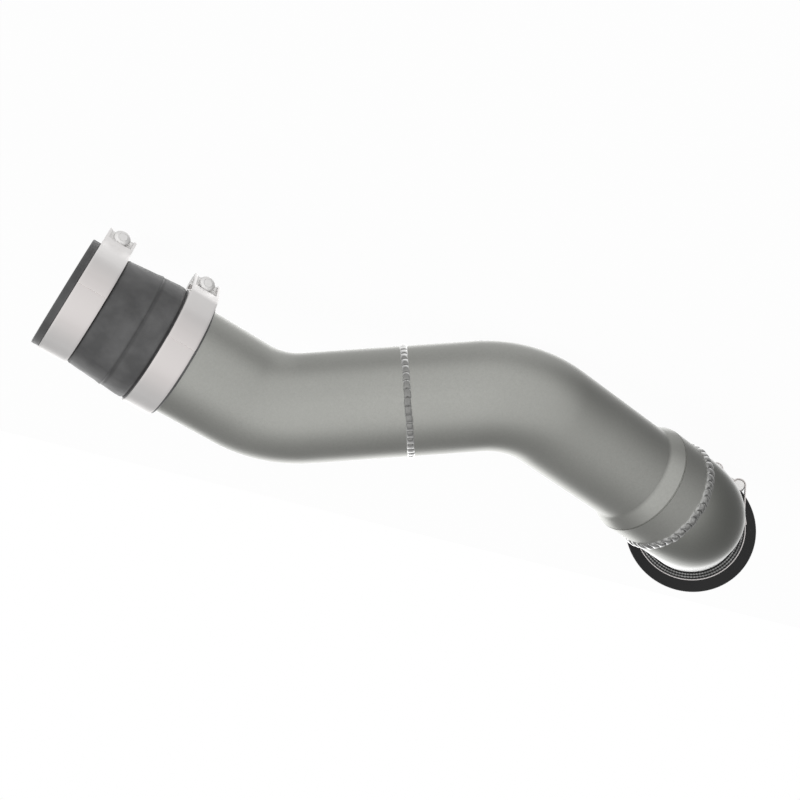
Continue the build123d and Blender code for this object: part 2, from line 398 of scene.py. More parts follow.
elbowLook = {
    "dark": (0.305, 0.310, 0.289), "light": (0.350, 0.355, 0.332), "roughLow": 0.31, "roughHigh": 0.36,
    "grainDepth": 0.03, "rimHighlight": (0.80, 0.80, 0.79), "rimHighlightFrom": 0.80, "rimHighlightTo": 0.97,
}
# dark is painted shade in the ripples' creases and light the proud ripples; side is a painted highlight on
# proud flanks turned from the eye, between turnFrom and turnTo
centreWeldLook = {
    "dark": (0.12, 0.12, 0.117), "light": (0.38, 0.38, 0.37), "side": (1.0, 1.0, 0.99), "rough": 0.30,
    "turnFrom": 0.22, "turnTo": 0.42, "grain": 1.2,
}
elbowWeldLook = {
    "dark": (0.09, 0.09, 0.088), "light": (0.44, 0.44, 0.43), "side": (1.0, 1.0, 0.99), "rough": 0.26,
    "turnFrom": 0.34, "turnTo": 0.60, "grain": 3.2,
}


def makeWeldMetal(name, look):
    material, tree, shader = startMaterial(name)
    edge = useGroup(tree, creaseShadeMask, {"Low": 0.44, "High": 0.56})
    grain = useGroup(tree, blastGrain, {"Grains per metre": 900.0, "Contrast": look["grain"]})
    speckle = makeMath(tree, "ADD", grain.outputs["Tone"], 0.45)
    # painted shade: the ripples' creases are darkened through the pointiness mask; the grain speckle is the
    # metal's own tone
    shade = makeMath(tree, "MULTIPLY", edge.outputs["Mask"], speckle, clamp=True)
    proud = makeRange(tree, edge.outputs["Mask"], 0.1, 0.6)
    # painted highlight: proud flanks turned from the eye are lifted towards the near-white side colour
    flankHighlight = makeMath(tree, "MULTIPLY", turnedAway(tree, look["turnFrom"], look["turnTo"]), proud)
    facing = mixColour(tree, shade, look["dark"], look["light"])
    tree.links.new(mixColour(tree, flankHighlight, facing, look["side"]), shader.inputs["Base Color"])
    shader.inputs["Metallic"].default_value = 1.0
    shader.inputs["Roughness"].default_value = look["rough"]
    addBump(tree, shader, grain.outputs["Height"], 0.12, 0.5)
    return material


# side is a painted highlight, laid on where the steel turns from the eye; dark and light are the steel's own
# tone
bandLook = {
    "dark": (0.71, 0.675, 0.665), "light": (0.77, 0.735, 0.725), "side": (1.0, 0.98, 0.97), "rough": 0.42,
}
boltLook = {
    "dark": (0.93, 0.92, 0.91), "light": (1.0, 0.99, 0.98), "side": (1.0, 0.99, 0.98), "rough": 0.52,
}


def makeSteel(name, look, lined=True):
    material, tree, shader = startMaterial(name)
    smudge = useGroup(tree, softSmudge, {"Patches per metre": 30.0, "Low": 0.2, "High": 0.8})
    lines = useGroup(tree, fineLines, {"Across per metre": 3200.0, "Along per metre": 20.0})
    mixed = makeMath(tree, "ADD", makeMath(tree, "MULTIPLY", smudge.outputs["Value"], 0.6),
                     makeMath(tree, "MULTIPLY", lines.outputs["Tone"], 0.4))
    facing = mixColour(tree, mixed, look["dark"], look["light"])
    # painted highlight: the side colour is laid on where the surface turns from the eye
    colour = mixColour(tree, turnedAway(tree, 0.10, 0.38), facing, look["side"])
    rough = makeRange(tree, mixed, 0.2, 0.8, look["rough"] - 0.05, look["rough"] + 0.06)
    tree.links.new(colour, shader.inputs["Base Color"])
    tree.links.new(rough, shader.inputs["Roughness"])
    shader.inputs["Metallic"].default_value = 1.0
    if lined:
        addBump(tree, shader, lines.outputs["Height"], 0.012, 0.5)
    return material


# shadeLines are dark lines painted round the hose, each the distance along its outline, the half width and
# the share of dark: painted shadow beside the bands' edges, painted shade at the crease and two darker
# strips at the mouth; side is a painted sheen where the hose turns from the eye
greyHoseLook = {
    "dark": (0.082, 0.082, 0.083), "light": (0.150, 0.150, 0.151), "side": (0.34, 0.34, 0.34), "rough": 0.50,
    "wrinkle": 0.6, "shadeLines": (
        (0.0014, 0.0020, 0.35), (0.0055, 0.0030, 0.25), (0.0081, 0.0007, 0.7),
        (0.0527, 0.0020, 0.30), (0.0274, 0.0009, 0.75), (0.0685, 0.0010, 0.65)),
}
blackHoseLook = {
    "dark": (0.006, 0.006, 0.0065), "light": (0.010, 0.010, 0.0105), "side": (0.04, 0.04, 0.04),
    "rough": 0.60, "wrinkle": 0.05, "shadeLines": (),
}
plyLook = {
    "dark": (0.26, 0.26, 0.257), "light": (0.46, 0.46, 0.457), "side": (0.46, 0.46, 0.457), "rough": 0.8,
    "wrinkle": 0.05, "shadeLines": (),
}


def makeSilicone(name, look):
    material, tree, shader = startMaterial(name)
    smudge = useGroup(tree, softSmudge, {"Patches per metre": 45.0, "Low": 0.0, "High": 1.0})
    grain = useGroup(tree, blastGrain, {"Grains per metre": 700.0, "Contrast": 1.0})
    colour = mixColour(tree, smudge.outputs["Value"], look["dark"], look["light"])
    # painted sheen: the side colour is laid on where the hose turns from the eye
    colour = mixColour(tree, turnedAway(tree, 0.38, 0.90), colour, look["side"])
    # painted shadow and shade: the hose is darkened towards near black along its shade lines
    if look["shadeLines"]:
        split = newNode(tree, "SeparateXYZ")
        tree.links.new(newNode(tree, "TexCoord").outputs["UV"], split.inputs[0])
        dark = 0.0
        for middle, reach, share in look["shadeLines"]:
            apart = makeMath(tree, "ABSOLUTE", makeMath(tree, "SUBTRACT", split.outputs["Y"], middle))
            dark = makeMath(tree, "MAXIMUM", makeRange(tree, apart, reach, reach * 0.4, 0.0, share), dark)
        colour = mixColour(tree, dark, colour, (0.012, 0.012, 0.012))
    tree.links.new(colour, shader.inputs["Base Color"])
    tree.links.new(
        makeRange(tree, smudge.outputs["Value"], 0.0, 1.0, look["rough"] - 0.06, look["rough"] + 0.08),
        shader.inputs["Roughness"])
    shader.inputs["Specular IOR Level"].default_value = 0.45
    where = newNode(tree, "TexCoord").outputs["Object"]
    wrinkled = addBump(tree, None, makeNoise(tree, where, 150.0, 5.0, 0.65), look["wrinkle"], 0.7)
    addBump(tree, shader, grain.outputs["Height"], 0.05, 0.35, wrinkled)
    return material


blastedMetal = makeBlastedMetal("blastedMetal", blastedLook)
turnedMetal = makeBlastedMetal("turnedMetal", blastedLook, lathed=True)
elbowMetal = makeBlastedMetal("elbowMetal", elbowLook)
centreWeldMetal = makeWeldMetal("centreWeldMetal", centreWeldLook)
elbowWeldMetal = makeWeldMetal("elbowWeldMetal", elbowWeldLook)
bandSteel = makeSteel("bandSteel", bandLook)
boltSteel = makeSteel("boltSteel", boltLook, lined=False)
greySilicone = makeSilicone("greySilicone", greyHoseLook)
blackSilicone = makeSilicone("blackSilicone", blackHoseLook)
plyFibre = makeSilicone("plyFibre", plyLook)
print("materials made")

# centre line

centreLine = {
    "lieRoll": -139.62, "inletStraight": 69.6, "firstBend": (68.5, 40.0), "beforeWeld": 69.2,
    "afterWeld": 48.0, "secondBend": (74.1, 42.9), "secondRoll": -176.2, "beforeAdapter": 82.0,
    "coneLength": 12.8, "collarLength": 27.0,
    "elbowRoll": 63.0, "elbowLand": 3.4, "elbowBend": (57.0, 46.6), "elbowStraight": 183.4,
}
inletHose = {
    "bore": 34.9, "wall": 3.2, "cuff": 27.0, "cone": 33.0, "seat": 27.0,
    "insertion": 25.0, "clearance": 0.05, "lip": 0.8, "creaseRound": 9.0,
    "creaseAt": 49.0, "creaseRise": 0.55, "creaseFoot": 4.5, "creaseWave": 0.3,
    "broadLump": 0.22, "broadSize": 16, "smallLump": 0.12, "smallSize": 5.5,
    "freeFrom": 25.0, "freeTo": 65.0, "fade": 5.0, "grooves": ((24.3, 1.5, 0.8), (66.2, -2.2, 1.0)),
}
outletHose = {
    "wall": 6.4, "nearCuff": 28.0, "farCuff": 30.0, "hump": 36.0, "humpHeight": 12.0,
    "humpFlank": 9.0, "humpRound": 4.4, "insertion": 29.0, "clearance": 0.05, "lip": 0.8,
}
tube = {"radius": 38.1, "wall": 2.0, "lip": 0.3, "jointLip": 0.04}
elbow = {"radius": 42.9, "wall": 3.0, "lip": 0.4}

mounts = {mount["name"]: mount for mount in frame["record"]["mounts"]}
inletMount = mounts["inlet_cuff"]
startHeading = -Vector(inletMount["axis"]).normalized()
cuffMiddle = Vector(inletMount["pos_m"]) / mm
sideways = startHeading.cross(Vector((0, 0, 1))).normalized()
startNormal = turned(sideways, startHeading, centreLine["lieRoll"])
mouthPlace = cuffMiddle - startHeading * (inletHose["cuff"] / 2)
mouth = (mouthPlace, startHeading, startNormal, startNormal)

inletHoseLength = inletHose["cuff"] + inletHose["cone"] + inletHose["seat"]
humpHoseLength = outletHose["nearCuff"] + outletHose["hump"] + outletHose["farCuff"]
tubeStart = ahead(mouth, inletHoseLength - inletHose["insertion"])
inletLegs = [(centreLine["inletStraight"],), centreLine["firstBend"], (centreLine["beforeWeld"],)]
inletRun = stationsAlong(tubeStart, inletLegs)
centreJoint = inletRun[-1][0]
secondBend = rolled(ahead(centreJoint, centreLine["afterWeld"]), centreLine["secondRoll"])
centreRun = stationsAlong(centreJoint, [(centreLine["afterWeld"],)])
bendRun = stationsAlong(secondBend, [centreLine["secondBend"], (centreLine["beforeAdapter"],)])
centreRun += [(station, along + centreLine["afterWeld"]) for station, along in bendRun[1:]]
adapterStart = centreRun[-1][0]
collarEnd = ahead(adapterStart, centreLine["coneLength"] + centreLine["collarLength"])
elbowStart = rolled(collarEnd, centreLine["elbowRoll"])
elbowLegs = [(centreLine["elbowLand"],), centreLine["elbowBend"], (centreLine["elbowStraight"],)]
elbowRun = stationsAlong(elbowStart, elbowLegs)
elbowEnd = elbowRun[-1][0]
outletCut = ahead(elbowEnd, -outletHose["insertion"])

# tubes, elbow and adapter


def tubeSkin(name, run, radius, wall, lip, segments=144):
    inner = radius - wall
    length = run[-1][1]
    first, last = run[0][0], run[-1][0]
    rings = [(first, radius - lip, -lip), (ahead(first, lip), radius, lip)]
    rings += [(station, radius, along) for station, along in run[1:-1]]
    rings += [(ahead(last, -lip), radius, length - lip), (last, radius - lip, length)]
    rings += [(last, inner + lip, length + wall), (ahead(last, -lip), inner, length + wall + lip)]
    back = length + wall
    rings += [(station, inner, back + (length - along)) for station, along in reversed(run[1:-1])]
    rings += [(ahead(first, lip), inner, 2 * length + wall - lip), (first, inner + lip, 2 * length + wall)]
    return ringSkin(name, rings, segments)


inletTube = tubeSkin("inletTube", inletRun, tube["radius"], tube["wall"], tube["lip"])
dress(inletTube, blastedMetal, "tube_metal", "inlet_tube")
centreTube = tubeSkin("centreTube", centreRun, tube["radius"], tube["wall"], tube["jointLip"])
dress(centreTube, blastedMetal, "tube_metal", "centre_tube")
castElbow = tubeSkin("castElbow", elbowRun, elbow["radius"], elbow["wall"], elbow["lip"])
dress(castElbow, elbowMetal, "tube_metal", "outlet_elbow")

adapter = {
    "grooveDepth": 0.4, "grooveWidth": 0.8, "coneToe": 2.0, "coneToeRound": 8.0, "coneEdgeRound": 0.35,
}


def makeAdapter():
    cone, groove = centreLine["coneLength"], adapter["grooveWidth"]
    end = cone + centreLine["collarLength"]
    outer, bore = elbow["radius"], elbow["radius"] - elbow["wall"]
    neck, narrow = outer - adapter["grooveDepth"], tube["radius"]
    corners = [
        (narrow - 0.1, 0, 0), (narrow, 0.05, 0), (narrow, adapter["coneToe"], adapter["coneToeRound"]),
        (outer, cone - 0.1, adapter["coneEdgeRound"]),
        (neck, cone, 0), (neck, cone + groove, 0), (outer, cone + groove + 0.1, 0),
        (outer, end, 0), (bore, end, 0), (bore, cone, 0), (narrow - tube["wall"], 0, 0),
    ]
    return lathe("stepAdapter", adapterStart, corners, 144, 30, 4)


dress(makeAdapter(), turnedMetal, "tube_metal", "step_adapter")
print("tubes made")

# weld beads

centreBead = {"width": 5.2, "height": 1.5, "ripples": 42, "lean": 0.12, "seed": 4, "wander": 0.25}
elbowBead = {"width": 7.6, "height": 2.0, "ripples": 46, "lean": 0.35, "seed": 9, "wander": 0.55}


def makeBead(name, station, radius, look):
    # overlapping puddles round the joint, each a little different
    chance = random.Random(look["seed"])
    ripples = look["ripples"]
    sizes = [chance.uniform(0.85, 1.05) for _ in range(ripples)]
    shifts = [chance.uniform(-look["wander"], look["wander"]) for _ in range(ripples)]
    perRipple, across = 16, 14
    segments = ripples * perRipple
    spot, heading, normal, mark = station
    side = heading.cross(mark)
    vertices = []
    for segment in range(segments):
        angle = 2 * math.pi * segment / segments
        outward = mark * math.cos(angle) + side * math.sin(angle)
        for row in range(across + 1):
            s = 2 * row / across - 1
            phase = segment / perRipple + look["lean"] * (1 - s * s)
            index = int(phase) % ripples
            within = phase - math.floor(phase)
            puddle = math.sqrt(max(0.0, 1 - (2 * within - 1) ** 2))
            crown = (1 - abs(s) ** 2.4) ** 0.6 if abs(s) < 1 else 0.0
            height = look["height"] * crown * (0.18 + 0.82 * puddle) * sizes[index]
            width = look["width"] / 2 * (0.90 + 0.10 * puddle)
            offset = s * width + shifts[index] * puddle
            lift = -0.05 if abs(s) >= 1 else 0.0
            vertices.append(spot + heading * offset + outward * (radius + height + lift))
    count = across + 1
    u, w = 2 * math.pi * radius * mm / segments, look["width"] * mm / across
    faces, uvs = quads(
        across, segments,
        lambda row, segment: segment % segments * count + row,
        lambda row, segment: (segment * u, row * w))
    # a plain foot closes the bead against the tube
    for segment in range(segments):
        a, b = segment * count, (segment + 1) % segments * count
        faces.append((a, a + across, b + across, b))
        uvs.append(((0, 0), (0, 0.001), (0.001, 0.001), (0.001, 0)))
    return finishMesh(name, vertices, faces, uvs, 60)


centreBeadPiece = makeBead("centreBead", centreJoint, tube["radius"], centreBead)
dress(centreBeadPiece, centreWeldMetal, "weld", "centre_weld_bead")
elbowBeadPiece = makeBead("elbowBead", elbowStart, elbow["radius"], elbowBead)
dress(elbowBeadPiece, elbowWeldMetal, "weld", "elbow_weld_bead")
print("welds made")

# silicone hoses


def makeReducerHose():
    hose = inletHose
    bore, wall, cuff, cone = hose["bore"], hose["wall"], hose["cuff"], hose["cone"]
    large, crease = tube["radius"] + hose["clearance"], cuff + cone

    def held(value):
        return min(1.0, max(0.0, value))

    def softLumps(distance, angle, radius):
        # the free part between the bands is a little uneven and squeezed in beside each band
        if radius < bore + (large - bore) * held((distance - cuff) / cone) + wall / 2:
            return radius
        fromEnds = (distance - hose["freeFrom"], hose["freeTo"] - distance)
        fade = held(fromEnds[0] / hose["fade"]) * held(fromEnds[1] / hose["fade"])
        spot = Vector((math.cos(angle) * large, math.sin(angle) * large, distance))
        uneven = hose["broadLump"] * noise.noise(spot / hose["broadSize"])
        uneven += hose["smallLump"] * noise.noise(spot / hose["smallSize"])
        for start, width, depth in hose["grooves"]:
            within = (distance - start) / width
            if 0 <= within < 1:
                radius -= depth * (1 - within ** 2)
        before = hose["creaseAt"] + hose["creaseWave"] * math.sin(angle * 2 + 1) - distance
        if 0 <= before < hose["creaseFoot"]:
            uneven += hose["creaseRise"] * (1 - before / hose["creaseFoot"])
        return radius + fade * uneven

    corners = [
        (bore, 0, 0.3), (bore + wall, 0, hose["lip"]), (bore + wall, cuff, hose["creaseRound"]),
        (large + wall, crease, hose["creaseRound"]), (large + wall, inletHoseLength, hose["lip"]),
        (large, inletHoseLength, 0.3), (large, crease, 0), (bore, cuff, 0),
    ]
    return lathe("reducerHose", mouth, corners, 180, 40, 6, softLumps, 0.75)


def makeHumpHose():
    hose = outletHose
    wall, soft = hose["wall"], hose["humpRound"]
    bore = elbow["radius"] + hose["clearance"]
    outer = bore + wall
    top, near, last = outer + hose["humpHeight"], hose["nearCuff"], hose["nearCuff"] + hose["hump"]
    rise, fall = near + hose["humpFlank"], last - hose["humpFlank"]
    shift = wall * math.tan(math.atan2(hose["humpHeight"], hose["humpFlank"]) / 2)
    corners = [
        (bore, 0, 0.3), (outer, 0, hose["lip"]), (outer, near, soft), (top, rise, soft),
        (top, fall, soft), (outer, last, soft), (outer, humpHoseLength, hose["lip"]),
        (bore, humpHoseLength, 0.3), (bore, last - shift, soft), (top - wall, fall - shift, soft),
        (top - wall, rise + shift, soft), (bore, near + shift, soft),
    ]
    return lathe("humpHose", outletCut, corners, 144, 40, 7)


plies = {"offsets": (2.0, 4.5), "width": 1.7, "proud": 0.3, "yarns": 110}


def makePlyRing(name, station, radius, look):
    # one fabric ply on a cut end, a ring of yarn ends
    half, proud = look["width"] / 2, look["proud"]

    def yarns(distance, angle, reach):
        swell = 0.5 + 0.5 * math.cos(look["yarns"] * angle)
        return radius + (reach - radius) * (0.25 + 0.75 * swell)

    corners = [
        (radius - half, 0.02, 0), (radius - half * 0.8, -proud, 0.2),
        (radius + half * 0.8, -proud, 0.2), (radius + half, 0.02, 0),
    ]
    return lathe(name, station, corners, look["yarns"] * 5, 60, 2, yarns)


dress(makeReducerHose(), greySilicone, "grey_silicone", "inlet_coupler")
dress(makeHumpHose(), blackSilicone, "black_silicone", "outlet_coupler")
for plyIndex, plyOffset in enumerate(plies["offsets"]):
    plyRadius = elbow["radius"] + outletHose["clearance"] + plyOffset
    plyRing = makePlyRing("plyRing" + str(plyIndex + 1), outletCut, plyRadius, plies)
    dress(plyRing, plyFibre, "black_silicone")
print("hoses made")

# band clamps

clamp = {
    "width": 19.0, "thickness": 1.0, "sheetShare": 0.97, "clearance": 0.05, "edge": 0.18,
    "barrelRadius": 5.5, "barrelLength": 19.0, "barrelClearance": 0.1, "flatDepth": 2.0,
    "spacing": 25.0, "inletLift": 2.2, "outletLift": 4.0,
    "headAim": 40.0, "headLanding": 44.0, "headTail": 50.0,
    "foldRound": 1.6, "boltRadius": 3.0, "boltEnd": 0.12, "threadPitch": 1.0, "threadDepth": 0.45,
    "barrelEdge": 1.0, "trunnionEdge": 0.4, "shankInset": 3.0, "plainShank": 3.0,
    "taperLength": 0.9, "taperDepth": 0.06,
    "slot": 8.0, "window": 15.6,
    "washerRadius": 6.25, "washerThickness": 0.8, "washerPlay": 0.15,
    "nutFlats": 10.0, "nutHeight": 3.5, "collarRadius": 5.7, "collarHeight": 0.8, "nutPlay": 0.03,
    "crownShare": 0.97, "hexShare": 0.42,
    "bridgeThickness": 0.5,
}


def direction(degrees):
    return Vector((math.sin(math.radians(degrees)), math.cos(math.radians(degrees)), 0))


def clampMeasures(hoseRadius, lift):
    inner = hoseRadius + clamp["clearance"]
    outer = inner + clamp["thickness"]
    loopInner = clamp["barrelRadius"] + clamp["barrelClearance"]
    loopOuter = loopInner + clamp["thickness"]
    reach = inner + loopOuter + lift
    side = clamp["spacing"] / 2
    height = math.sqrt(reach ** 2 - side ** 2)
    loopAngle = math.degrees(math.asin(side / reach))
    under = loopAngle + math.degrees(math.acos((inner + loopOuter) / reach))
    fall = direction(clamp["headAim"]) * (outer + clamp["thickness"]) - Vector((side, height, 0))
    headLean = math.degrees(math.atan2(fall.x, fall.y)) - math.degrees(math.acos(loopOuter / fall.length))
    return {
        "inner": inner, "outer": outer, "loopInner": loopInner,
        "side": side, "height": height, "under": under, "headLean": headLean,
    }


def arcPoints(centre, radius, start, end, step=4.0):
    count = max(1, math.ceil(abs(end - start) / step))
    return [centre + direction(start + (end - start) * i / count) * radius for i in range(count + 1)]


def crossing(first, firstOffset, second, secondOffset):
    # where two lines of a clamp's profile cross, each given by its normal and its distance out
    spread = first.x * second.y - first.y * second.x
    across = (firstOffset * second.y - secondOffset * first.y) / spread
    up = (secondOffset * first.x - firstOffset * second.x) / spread
    return Vector((across, up, 0))


def softBend(before, corner, after, reach, steps=5):
    # a short curve in place of a sharp fold
    start = corner + (before - corner).normalized() * reach
    end = corner + (after - corner).normalized() * reach
    shares = [step / steps for step in range(steps + 1)]
    return [start.lerp(corner, t).lerp(corner.lerp(end, t), t) for t in shares]


def bandEnd(size, side, lean, landing, tailAngle):
    # one end of the strip's middle line: rise, loop, fall and tail
    half = clamp["thickness"] / 2
    ring, loop, tail = size["inner"] + half, size["loopInner"] + half, size["outer"] + half
    centre = Vector((side * size["side"], size["height"], 0))
    under, leaning = direction(side * size["under"]), direction(side * lean)
    resting = direction(side * landing)
    bow = arcPoints(centre, loop, side * (size["under"] - 180), side * lean, 9.0)
    corner = crossing(leaning, centre.dot(leaning) + loop, resting, tail)
    foldReach = min(clamp["foldRound"], (resting * tail - corner).length * 0.9)
    fold = softBend(bow[-1], corner, resting * tail, foldReach)
    rest = arcPoints(Vector((0, 0, 0)), tail, side * landing, side * tailAngle, 3.0)
    return [under * ring, centre - under * loop] + bow + fold + rest


def bandLine(size, fit):
    # the middle line of the strip, from the end at the head round to the end at the nut
    head = bandEnd(size, -1, size["headLean"], clamp["headLanding"], clamp["headTail"])
    nut = bandEnd(size, 1, fit["nutLean"], fit["nutLanding"] or size["under"], fit["nutTail"])
    ring = size["inner"] + clamp["thickness"] / 2
    around = arcPoints(Vector((0, 0, 0)), ring, -size["under"], size["under"] - 360, 3.0)
    line = head[::-1] + around + nut
    tidy = [line[0]]
    for point in line[1:]:
        if (point - tidy[-1]).length > 0.02:
            tidy.append(point)
    return tidy


def cutAt(line, test):
    # adds the points where the line crosses a limit, given as a function that changes sign
    made = [line[0]]
    for before, after in zip(line, line[1:]):
        low, high = test(before), test(after)
        if low * high < 0:
            made.append(before.lerp(after, low / (low - high)))
        made.append(after)
    return made


def stripMesh(name, line, widths, isOpen, matrix, thickness, edge):
    along = [0.0]
    for before, after in zip(line, line[1:]):
        along.append(along[-1] + (after - before).length)
    vertices = [matrix @ Vector((point.x, point.y, width)) for point in line for width in widths]
    count = len(widths)

    def leaveOut(row, column):
        return isOpen and isOpen((line[row] + line[row + 1]) / 2, (widths[column] + widths[column + 1]) / 2)

    faces, uvs = quads(
        len(line) - 1, count - 1,
        lambda row, column: row * count + column,
        lambda row, column: (along[row] * mm, widths[column] * mm), leaveOut)
    piece = finishMesh(name, vertices, faces, uvs, 40)
    thick = piece.modifiers.new("sheet", "SOLIDIFY")
    thick.thickness = thickness * mm
    thick.offset = 0.0
    thick.use_even_offset = True
    bevelled(piece, edge, 50)
    return piece


def makeBand(name, size, fit, matrix):
    line = bandLine(size, fit)
    windowLow = size["height"] - clamp["barrelRadius"] - fit["windowDrop"]
    slotHalf = clamp["slot"] / 2
    line = cutAt(line, lambda p: p.y - windowLow if p.x > 0 else 1.0)
    line = cutAt(line, lambda p: abs(p.y - size["height"]) - slotHalf if p.x < 0 else 1.0)
    half, window = clamp["width"] / 2, clamp["window"] / 2
    widths = [-half, -window, -slotHalf, 0.0, slotHalf, window, half]

    def isOpen(point, width):
        if point.x > 0 and point.y > windowLow and abs(width) < window:
            return True
        atSlot = abs(point.y - size["height"]) < slotHalf and -size["side"] < point.x < 0
        return atSlot and abs(width) < slotHalf

    sheet = clamp["thickness"] * clamp["sheetShare"]
    return stripMesh(name, line, widths, isOpen, matrix, sheet, clamp["edge"])


def makeBridge(name, size, matrix):
    outer = size["inner"] + clamp["bridgeThickness"]
    lifted = math.degrees(math.acos(size["inner"] / (outer + clamp["clearance"])))
    half = size["under"] - lifted
    middle = size["inner"] + clamp["bridgeThickness"] / 2
    line = arcPoints(Vector((0, 0, 0)), middle, -half, half, 2.5)
    widths = [-clamp["width"] / 2, 0.0, clamp["width"] / 2]
    return stripMesh(name, line, widths, None, matrix, clamp["bridgeThickness"] * clamp["sheetShare"], 0.1)


def axisStation(matrix, point, heading, mark):
    turn = matrix.to_3x3()
    return (matrix @ Vector(point), turn @ Vector(heading), turn @ Vector(mark), turn @ Vector(mark))


def joined(keep, other):
    bpy.ops.object.select_all(action="DESELECT")
    other.select_set(True)
    keep.select_set(True)
    bpy.context.view_layer.objects.active = keep
    bpy.ops.object.join()
    return keep


def makeBolt(name, size, matrix, nutEnd):
    # the barrel lies in the head loop, the threaded shank runs through both loops
    radius, length, edge = clamp["barrelRadius"], clamp["barrelLength"], clamp["barrelEdge"]
    foot = axisStation(matrix, (-size["side"], size["height"], -length / 2), (0, 0, 1), (0, 1, 0))
    barrel = lathe(name, foot, [
        (0.02, 0, 0), (radius - edge, 0, 0.1), (radius, edge, 0.1), (radius, length - edge, 0.1),
        (radius - edge, length, 0.1), (0.02, length, 0)], 48, 35, 3)
    start, end = -size["side"] + clamp["shankInset"], nutEnd + clamp["boltEnd"]
    threadFrom = -size["side"] + clamp["barrelRadius"] + clamp["plainShank"]
    taper = clamp["taperLength"]
    station = axisStation(matrix, (0, size["height"], 0), (1, 0, 0), (0, 1, 0))
    pitch, depth, shank = clamp["threadPitch"], clamp["threadDepth"], clamp["boltRadius"]
    distances = [start]
    step = pitch / 8
    while distances[-1] + step < end:
        distances.append(distances[-1] + (step if distances[-1] > threadFrom - step else 1.0))
    distances.append(end)
    rings = [(ahead(station, start), 0.02, 0)] + [(ahead(station, d), shank, d) for d in distances]
    rings += [(ahead(station, end + 0.02), 0.02, end)]

    def shape(index, angle, reach):
        if index in (0, len(rings) - 1):
            return reach
        distance = distances[index - 1]
        if distance < threadFrom:
            return reach
        turn = (distance / pitch - angle / (2 * math.pi)) % 1.0
        groove = min(1.0, abs(turn - 0.5) * 2 * 1.15)
        fromEnd = end - distance
        if fromEnd < taper:
            return reach - 0.02 - clamp["taperDepth"] * (1 - fromEnd / taper) ** 3
        return reach - depth * groove

    return joined(barrel, ringSkin(name + "Shank", rings, 40, False, 60, shape))


def makeTrunnion(name, size, matrix):
    # a barrel with a flat for the washer
    radius, length = clamp["barrelRadius"], clamp["barrelLength"]
    limit, steps = math.degrees(math.acos((radius - clamp["flatDepth"]) / radius)), 40
    angles = [math.radians(limit + (360 - 2 * limit) * step / steps) for step in range(steps + 1)]
    outline = [(radius * math.cos(angle), radius * math.sin(angle)) for angle in angles]
    count = len(outline)
    vertices = [matrix @ Vector((size["side"] + x, size["height"] + y, z))
                for z in (-length / 2, length / 2) for x, y in outline]
    faces, uvs = quads(
        1, count,
        lambda row, column: row * count + column % count,
        lambda row, column: (column * mm, row * length * mm))
    for ring in (range(count)[::-1], range(count, 2 * count)):
        faces.append(tuple(ring))
        uvs.append([(outline[i % count][0] * mm, outline[i % count][1] * mm) for i in ring])
    return bevelled(finishMesh(name, vertices, faces, uvs, 35), clamp["trunnionEdge"], 40)


def makeWasher(name, size, matrix, start):
    station = axisStation(matrix, (start, size["height"], 0), (1, 0, 0), (0, 1, 0))
    inner = clamp["boltRadius"] + clamp["washerPlay"]
    outer, thick = clamp["washerRadius"], clamp["washerThickness"]
    corners = [(inner, 0, 0), (outer, 0, 0.25), (outer, thick, 0.35), (inner, thick, 0)]
    return lathe(name, station, corners, 64, 35, 3)


def makeNut(name, size, matrix, start):
    station = axisStation(matrix, (start, size["height"], 0), (1, 0, 0), (0, 1, 0))
    flats, height = clamp["nutFlats"] / 2, clamp["nutHeight"]
    inner, crown = clamp["boltRadius"] + clamp["nutPlay"], flats * clamp["crownShare"]
    collar, top = clamp["collarRadius"], clamp["nutHeight"] + clamp["collarHeight"]
    hexTop, segments = height * clamp["hexShare"], 72
    spot, heading, normal, mark = station
    side = heading.cross(mark)
    vertices = []
    for segment in range(segments):
        angle = 2 * math.pi * segment / segments
        outward = mark * math.cos(angle) + side * math.sin(angle)
        reach = flats / math.cos((angle + math.pi / 6) % (math.pi / 3) - math.pi / 6)
        drop = (reach - crown) * math.tan(math.radians(30))
        # six sides with turned corners, then the collar, a low dome that runs on into the bolt's end
        outline = [
            (inner, 0), (crown, 0), (reach, drop), (reach, hexTop - drop), (crown, hexTop),
            (collar, hexTop + 0.02), (collar, height * 0.72), (collar * 0.97, height * 0.88),
            (collar * 0.90, height), (collar * 0.78, height + (top - height) * 0.6),
            (inner, top + 0.06), (inner, top - 0.2),
        ]
        vertices += [spot + heading * distance + outward * radius for radius, distance in outline]
    count = len(outline)
    faces, uvs = quads(
        count, segments,
        lambda row, segment: segment % segments * count + row % count,
        lambda row, segment: (segment * 0.0004, row * mm))
    return finishMesh(name, vertices, faces, uvs, 30)


smallHose = inletHose["bore"] + inletHose["wall"]
largeHose = tube["radius"] + inletHose["clearance"] + inletHose["wall"]
humpCuff = elbow["radius"] + outletHose["clearance"] + outletHose["wall"]
